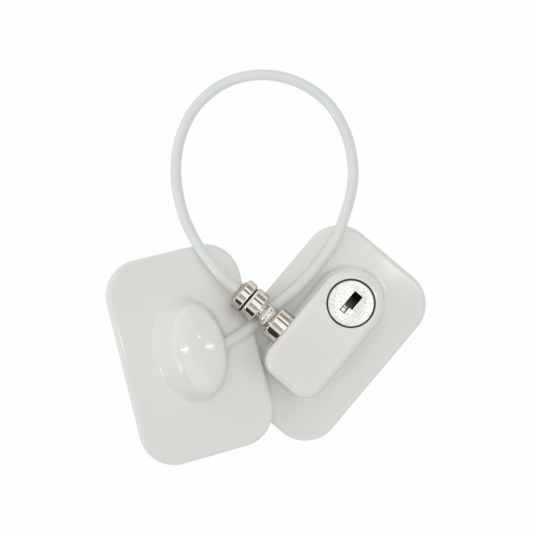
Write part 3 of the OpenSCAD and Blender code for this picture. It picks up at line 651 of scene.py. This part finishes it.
def plateRings(s):
    # from the lower edge over the rim to the flat top
    plate = plateOutline(s)
    rings = [offsetRing(plate, s["lip"] * (math.cos(a) - 1), s["low"] + s["lip"] * (1 + math.sin(a)))
             for a in arcSteps(-90, 0, s["lipSteps"])]
    rings += [offsetRing(plate, s["rim"] * (math.cos(a) - 1), s["top"] + s["rim"] * (math.sin(a) - 1))
              for a in arcSteps(0, 90, s["rimSteps"])]
    rings.append(offsetRing(plate, -s["rim"] - s["hold"], s["top"]))
    return plate, rings


def recessRings(s, plate):
    # the hollow for the back plate, from its ceiling to the lower edge
    return [offsetRing(plate, -s["recess"], s["recessTop"]), offsetRing(plate, -s["recess"], s["low"])]


def holeRing(body, centre, radius, z):
    # a round ring with a point for each point of the body
    return [(*(centre + (p - centre).normalized() * radius), z) for p, n in body]


def makeLockCover(s, plateS):
    # from the plate up the body's wall, over its roof, down the disc's hole and along the inside
    plate, rings = plateRings(plateS)
    highEnd = s["cylinder"] + s["halfWidth"]
    body = roundedOutline(s["halfWidth"], s["nearEnd"], highEnd, s["nearCorner"], s["halfWidth"],
                          plateS["points"])
    base, foot = plateS["top"], s["foot"]
    footOut = s["draft"] + foot
    rings.append(offsetRing(body, footOut + plateS["hold"], base))
    rings += [offsetRing(body, footOut + foot * math.cos(a), base + foot * (1 + math.sin(a)))
              for a in arcSteps(270, 180, s["footSteps"])]
    footTop = base + foot
    edgeLow = s["top"] - s["edge"]
    shares = [k / s["wallSteps"] for k in range(1, s["wallSteps"])]
    rings += [offsetRing(body, s["draft"] * (1 - t), footTop + (edgeLow - footTop) * t) for t in shares]
    rings += [offsetRing(body, s["edge"] * (math.cos(a) - 1), edgeLow + s["edge"] * math.sin(a))
              for a in arcSteps(0, 90, s["edgeSteps"])]
    rings.append(offsetRing(body, -s["edge"] - s["roofHold"], s["top"]))
    centre = Vector((0, s["cylinder"]))
    hole, soft = s["hole"], s["holeEdge"]
    rings.append(holeRing(body, centre, hole + soft + s["roofHold"], s["top"]))
    rings += [holeRing(body, centre, hole + soft * (1 - math.sin(a)), s["top"] - soft * (1 - math.cos(a)))
              for a in arcSteps(0, 90, s["holeSteps"])]
    roof = s["top"] - s["wall"]
    rings += [holeRing(body, centre, hole, roof), offsetRing(body, -s["wall"], roof),
              offsetRing(body, -s["wall"], plateS["recessTop"])]
    rings += recessRings(plateS, plate)
    return newPiece("lockCover", ringMesh("lockCover", rings, True), "white_plastic")


def addPosts(piece, posts):
    for (x, y), low, high, radius, bore in posts:
        tube = turnedMesh("post", [(low, bore), (low, radius), (high, radius), (high, bore)],
                          (x, y, 0), (0, 0, 1), True, coverSettings["postSides"])
        carve(piece, newPiece("post", tube, "white_plastic"), "UNION")


lockCover = makeLockCover(bodySettings, plateSettings)
addPosts(lockCover, bodySettings["posts"])
bushSeat = turnedMesh("bushSeat", plugSettings["seat"], plugSettings["axis"], plugSettings["way"], False,
                      plugSettings["seatSides"])
carve(lockCover, newPiece("bushSeat", bushSeat, "white_plastic"), "DIFFERENCE")
lockCover.data.set_sharp_from_angle(angle=math.radians(coverSettings["sharp"]))
finishPiece(lockCover, "lock", "white_plastic", "lock_cover")


# anchor, in its own leaning frame

anchorSettings = {
    "turn": 54,  # degrees, as draft, crown and exitTurn are
    "middle": 1.1,  # of the dome, along the plate
    "halfWidth": 11.4,
    "halfLength": 16.05,
    "height": 11.1,
    "draft": 18.5,
    "edge": 3,
    "crown": 10,  # slope of the crown at its edge
    "endShare": 0.8,  # how much less the ends lean in than the flanks
    "foot": 1.4,
    "wall": 1.8,
    "exit": (10.8, 0.55, 5.5),
    "exitTurn": 15.5,
    "exitHole": [(-4, 0), (-4, 1.8), (9, 1.8), (9, 0)],  # a profile of (along, out) points
    "exitSides": 64,
    "footSteps": 8,
    "wallSteps": 6,
    "edgeSteps": 14,
    "crownSteps": 12,
    "innerSteps": 8,
    "posts": [  # place, low, high, radius, bore
        ((0, 13.7), 2, 7.4, 2.2, 0.9), ((0, -11.5), 2, 7.4, 2.2, 0.9),
        ((0.47, 2.25), 5.1, 13, 1.6, 0.7), ((2.82, -6.23), 5.1, 13, 1.6, 0.7),
    ],
}


def anchorFrame(s):
    mount = next(m for m in frame["record"]["mounts"] if m["name"] == "anchor_pad")
    up = -Vector(mount["axis"]).normalized()
    turn = math.radians(s["turn"])
    long = Vector((-math.sin(turn), math.cos(turn), 0))
    short = long.cross(up)
    place = Matrix((short, long, up)).transposed().to_4x4()
    place.translation = Vector(mount["pos_m"])
    return place


def domeProfile(halfWidth, height, edge, s, steps):
    # (standing in from the foot, height) round the upper edge, and the rise left for the crown
    draft, crown = math.radians(s["draft"]), math.radians(s["crown"])
    fall, lean = math.tan(crown) / 2, math.tan(draft)
    reach = edge / math.cos(draft)
    span = halfWidth - reach + edge * math.sin(crown)
    z = (height - edge * math.cos(crown) - span * fall) / (1 - lean * fall)
    arc = [(reach + z * lean - edge * math.sin(a), z + edge * math.cos(a))
           for a in arcSteps(90 - s["draft"], s["crown"], steps)]
    return arc, height - arc[-1][1]


def domeOval(s, halfWidth, halfLength, ways):
    # foot and normals, drawn out along its length so that the ends lean in less
    oval = []
    for w in ways:
        point = Vector((w.x * halfWidth, w.y * halfLength / s["endShare"]))
        oval.append((point, Vector((w.x / halfWidth, w.y / halfLength * s["endShare"])).normalized()))
    return oval


def domeRing(s, oval, inset, z):
    return [(p.x - n.x * inset, s["middle"] + (p.y - n.y * inset) * s["endShare"], z) for p, n in oval]


def crownRings(s, oval, inset, top, rise, steps):
    # from the upper edge in to the middle, with the same slope at the edge all round
    rings = []
    slope = math.tan(math.radians(s["crown"]))
    for k in range(1, steps):
        share = 1 - k / steps
        ring = []
        for p, n in oval:
            q = p - n * inset
            bend = 2 - slope * n.dot(q) / (2 * rise)
            ring.append((q.x * share, s["middle"] + q.y * s["endShare"] * share,
                         top - rise * (bend * share ** 2 + (1 - bend) * share ** 4)))
        rings.append(ring)
    return rings + [[(0, s["middle"], top)]]


def anchorRings(s, plateS):
    # the outer loft, and the inner one from the lower edge up
    plate, rings = plateRings(plateS)
    ways = [Vector((p.x / plateS["halfWidth"], p.y / plateS["halfLength"])).normalized() for p, n in plate]
    base = plateS["top"]
    oval = domeOval(s, s["halfWidth"], s["halfLength"], ways)
    draft = math.radians(s["draft"])
    footOut = s["foot"] * (1 - math.sin(draft)) / math.cos(draft)
    rings.append(domeRing(s, oval, -footOut - plateS["hold"], base))
    rings += [domeRing(s, oval, -footOut - s["foot"] * math.cos(a), base + s["foot"] * (1 + math.sin(a)))
              for a in arcSteps(270, 180 + s["draft"], s["footSteps"])]
    arc, rise = domeProfile(s["halfWidth"], s["height"], s["edge"], s, s["edgeSteps"])
    low = s["foot"] * (1 - math.sin(draft))
    heights = [low + (arc[0][1] - low) * k / s["wallSteps"] for k in range(1, s["wallSteps"])]
    rings += [domeRing(s, oval, z * math.tan(draft), base + z) for z in heights]
    rings += [domeRing(s, oval, inset, base + z) for inset, z in arc]
    rings += crownRings(s, oval, arc[-1][0], base + s["height"], rise, s["crownSteps"])
    wall = s["wall"]
    inner = domeOval(s, s["halfWidth"] - wall, s["halfLength"] - wall, ways)
    steps = s["innerSteps"]
    arc, rise = domeProfile(s["halfWidth"] - wall, s["height"] - wall, s["edge"] - wall, s, steps)
    shell = [domeRing(s, inner, 0, plateS["recessTop"])]
    shell += [domeRing(s, inner, inset, base + z) for inset, z in arc]
    shell += crownRings(s, inner, arc[-1][0], base + s["height"] - wall, rise, steps)
    return rings, recessRings(plateS, plate)[::-1] + shell


def joinedMesh(name, parts):
    # puts lofts together into one closed shell
    mesh = bpy.data.meshes.new(name)
    work = bmesh.new()
    for part in parts:
        work.from_mesh(part)
        bpy.data.meshes.remove(part)
    bmesh.ops.remove_doubles(work, verts=work.verts[:], dist=0.0001 * mm)
    bmesh.ops.recalc_face_normals(work, faces=work.faces[:])
    work.to_mesh(mesh)
    work.free()
    return mesh


anchorPlace = anchorFrame(anchorSettings)
outerRings, innerRings = anchorRings(anchorSettings, plateSettings)
anchorMesh = joinedMesh("anchorCover", [
    ringMesh("outer", outerRings, False), ringMesh("inner", innerRings, False),
    ringMesh("under", [innerRings[0], outerRings[0]], False)])
anchorCover = newPiece("anchorCover", anchorMesh, "white_plastic")
addPosts(anchorCover, anchorSettings["posts"])
exitTurn = math.radians(anchorSettings["exitTurn"])
exitWay = (math.cos(exitTurn), math.sin(exitTurn), 0)
exitHole = turnedMesh("exitHole", anchorSettings["exitHole"], anchorSettings["exit"], exitWay, False,
                      anchorSettings["exitSides"])
carve(anchorCover, newPiece("exitHole", exitHole, "white_plastic"), "DIFFERENCE")
anchorCover.data.set_sharp_from_angle(angle=math.radians(coverSettings["sharp"]))
anchorCover.data.transform(anchorPlace)
finishPiece(anchorCover, "tether", "white_plastic", "anchor_cover")


# the rotor: a copy of its solid with softened edges

rotorSettings = {
    "weld": 0.001,
    "flat": 1,  # degrees; faces that differ by less are one
    "soft": 0.07,
    "segments": 2,
    "softFrom": 40,  # degrees between the faces of an edge
    "sharp": 30,
}


def softenedCopy(name, node, slot, s):
    mesh = frame["nodes"][node].data.copy()
    mesh.name = name
    work = bmesh.new()
    work.from_mesh(mesh)
    bmesh.ops.remove_doubles(work, verts=work.verts[:], dist=s["weld"] * mm)
    bmesh.ops.dissolve_limit(work, angle_limit=math.radians(s["flat"]), verts=work.verts[:],
                             edges=work.edges[:])
    work.to_mesh(mesh)
    work.free()
    piece = newPiece(name, mesh, slot, s["sharp"])
    bevel = piece.modifiers.new("soft", "BEVEL")
    bevel.width = s["soft"] * mm
    bevel.segments = s["segments"]
    bevel.limit_method = "ANGLE"
    bevel.angle_limit = math.radians(s["softFrom"])
    depsgraph = bpy.context.evaluated_depsgraph_get()
    soft = bpy.data.meshes.new_from_object(piece.evaluated_get(depsgraph))
    piece.modifiers.remove(bevel)
    soft.name = name
    piece.data = soft
    soft.shade_smooth()
    soft.set_sharp_from_angle(angle=math.radians(s["sharp"]))
    return piece


rotorFace = softenedCopy("rotor", "cylinder_rotor", "blasted_metal", rotorSettings)
finishPiece(rotorFace, "rotor", "blasted_metal", "cylinder_rotor")


# foam pads

foamSettings = {
    "inset": 1.5,  # from the plate's edge
    "top": 0.8,
    "round": 0.22,
    "roundSteps": 4,
    "border": 4,  # width of the flat strip beside the rounding
}


def makeFoam(name, s, plateS):
    plate = plateOutline(plateS)
    r, inset, steps = s["round"], s["inset"], s["roundSteps"]
    rings = [[(0, 0, 0)], offsetRing(plate, -inset - s["border"], 0)]
    rings += [offsetRing(plate, -inset + r * (math.cos(a) - 1), r * (1 + math.sin(a)))
              for a in arcSteps(-90, 0, steps)]
    rings += [offsetRing(plate, -inset + r * (math.cos(a) - 1), s["top"] - r * (1 - math.sin(a)))
              for a in arcSteps(0, 90, steps)]
    rings += [offsetRing(plate, -inset - s["border"], s["top"]), [(0, 0, s["top"])]]
    return newPiece(name, ringMesh(name, rings, False), "foam", sharp=50)


lockFoam = makeFoam("lockFoam", foamSettings, plateSettings)
anchorFoam = makeFoam("anchorFoam", foamSettings, plateSettings)
anchorFoam.data.transform(anchorPlace)
finishPiece(lockFoam, "lock", "foam", "lock_foam_pad")
finishPiece(anchorFoam, "tether", "foam", "anchor_foam_pad")


# the remaining solids keep their shape and take their finish

for row in frame["record"]["subparts"]:
    solid = frame["nodes"][row["node"]]
    solid.data.materials.clear()
    solid.data.materials.append(nodeFinishes.get(row["node"], finishes[row["material_slot"]]))
print("solids painted")


# stage: floor, lamps and reflection cards

stageSettings = {
    "floorSize": 6.0,
    "floorShare": 0.97,  # share of plain white in what the camera sees of the floor
    "floorGrey": 0.86,
    "floorDrop": 0.02,  # millimetres under the foam; the rest is in metres
    "world": 0.55,
    "lampAim": (-0.025, -0.02, 0),
    "cardAim": (-0.02, 0, 0.015),
    "cardWidth": 0.4,
}
lampSettings = [
    # name, turn in the picture from its right side, lean from straight up, distance, width, height, watts
    ("leftLamp", 150, 66, 1.0, 0.40, 0.40, 1.0),
    ("topLamp", 50, 10, 1.5, 1.0, 1.0, 4.2),
    ("lowTube", -149, 60, 1.0, 0.24, 0.09, 0.75),
    ("firstTube", 10, 15, 1.0, 0.012, 0.27, 0.10),
    ("secondTube", 10.8, 45.5, 1.2, 0.007, 0.19, 0.055),  # leans too far to show in the anchor's plate
]
cardSettings = [
    # seen only in the gloss: name, lean from straight up towards the far side, distance, height, colour
    ("stripCard", 53, 1.05, 0.15, (1.3, 1.3, 1.3)),
    ("gapCard", 37.5, 0.99, 0.157, (0.06, 0.055, 0.05)),
    ("topCard", 13.5, 1.05, 0.35, (1.25, 1.25, 1.24)),
    ("greyCard", -11, 1.04, 0.405, (0.5, 0.49, 0.47)),
    ("creamCard", -31, 1.05, 0.26, (0.95, 0.91, 0.84)),
    ("darkCard", -65, 1.03, 0.84, (0.04, 0.037, 0.033)),
    ("warmCard", 75, 1.03, 0.55, (0.42, 0.385, 0.33)),
]
# whitens the disc's face: name, place, aim, width, height, colour
discCard = ("discCard", (0.33, 0.02, 1.0), (0.33, 0, 0.015), 0.36, 0.6, (1.3, 1.3, 1.28))


def aimed(obj, place, aim):
    obj.location = place
    obj.rotation_euler = (Vector(aim) - Vector(place)).to_track_quat("-Z", "Y").to_euler()
    scene.collection.objects.link(obj)


def makeLamps(s):
    for name, turn, lean, distance, width, height, watts in lampSettings:
        data = bpy.data.lights.new(name, "AREA")
        data.shape = "RECTANGLE"
        data.size, data.size_y = width, height
        data.energy = watts
        lamp = bpy.data.objects.new(name, data)
        lamp.visible_glossy = "Lamp" not in name  # only the tubes show in the gloss
        turn = math.radians(turn + cameraSettings["turn"])
        lean = math.radians(lean)
        way = Vector((math.sin(lean) * math.cos(turn), math.sin(lean) * math.sin(turn), math.cos(lean)))
        aimed(lamp, Vector(s["lampAim"]) + way * distance, s["lampAim"])


def sheetMesh(name, width, height):
    mesh = bpy.data.meshes.new(name)
    x, y = width / 2, height / 2
    mesh.from_pydata([(-x, -y, 0), (x, -y, 0), (x, y, 0), (-x, y, 0)], [], [(0, 1, 2, 3)])
    return mesh


def makeCard(name, place, aim, width, height, colour):
    finish = bpy.data.materials.new(name)
    finish.use_nodes = True
    tree = finish.node_tree
    tree.nodes.clear()
    glow = tree.nodes.new("ShaderNodeEmission")
    glow.inputs["Color"].default_value = (*colour, 1)
    tree.links.new(glow.outputs[0], tree.nodes.new("ShaderNodeOutputMaterial").inputs["Surface"])
    card = bpy.data.objects.new(name, sheetMesh(name, width, height))
    card.data.materials.append(finish)
    aimed(card, place, aim)
    card.visible_camera = card.visible_diffuse = card.visible_shadow = False


def makeCards(s):
    for name, lean, distance, height, colour in cardSettings:
        lean = math.radians(lean)
        place = Vector(s["cardAim"]) + Vector((0, math.sin(lean), math.cos(lean))) * distance
        makeCard(name, place, s["cardAim"], s["cardWidth"], height, colour)
    makeCard(*discCard)


def seenRays(tree):
    # 1 for the rays that show the background: camera, glossy and transmission
    path = tree.nodes.new("ShaderNodeLightPath").outputs
    seen = addMath(tree, "MAXIMUM", path["Is Camera Ray"], path["Is Glossy Ray"])
    return addMath(tree, "MAXIMUM", seen, path["Is Transmission Ray"])


def makeFloor(s):
    finish = bpy.data.materials.new("floor")
    finish.use_nodes = True
    tree = finish.node_tree
    tree.nodes.clear()
    add, link = tree.nodes.new, tree.links.new
    share = add("ShaderNodeMath")
    share.operation = "MULTIPLY"
    share.inputs[1].default_value = s["floorShare"]
    link(seenRays(tree), share.inputs[0])
    plain = add("ShaderNodeBsdfDiffuse")
    plain.inputs["Color"].default_value = (s["floorGrey"],) * 3 + (1,)
    white = add("ShaderNodeEmission")
    mix = add("ShaderNodeMixShader")
    link(share.outputs[0], mix.inputs["Fac"])
    link(plain.outputs[0], mix.inputs[1])
    link(white.outputs[0], mix.inputs[2])
    link(mix.outputs[0], add("ShaderNodeOutputMaterial").inputs["Surface"])
    floor = bpy.data.objects.new("floor", sheetMesh("floor", s["floorSize"], s["floorSize"]))
    floor.location.z = -s["floorDrop"] * mm
    floor.data.materials.append(finish)
    scene.collection.objects.link(floor)


def makeWorld(s):
    world = bpy.data.worlds.new("studio")
    world.use_nodes = True
    back = world.node_tree.nodes["Background"]
    back.inputs["Color"].default_value = (1, 1, 1, 1)
    level = world.node_tree.nodes.new("ShaderNodeMapRange")
    level.inputs["To Min"].default_value = s["world"]
    level.inputs["To Max"].default_value = 1  # plain white where it is seen
    world.node_tree.links.new(seenRays(world.node_tree), level.inputs["Value"])
    world.node_tree.links.new(level.outputs["Result"], back.inputs["Strength"])
    scene.world = world


makeLamps(stageSettings)
makeCards(stageSettings)
makeFloor(stageSettings)
makeWorld(stageSettings)
scene.view_settings.view_transform = "Standard"
print("stage set")
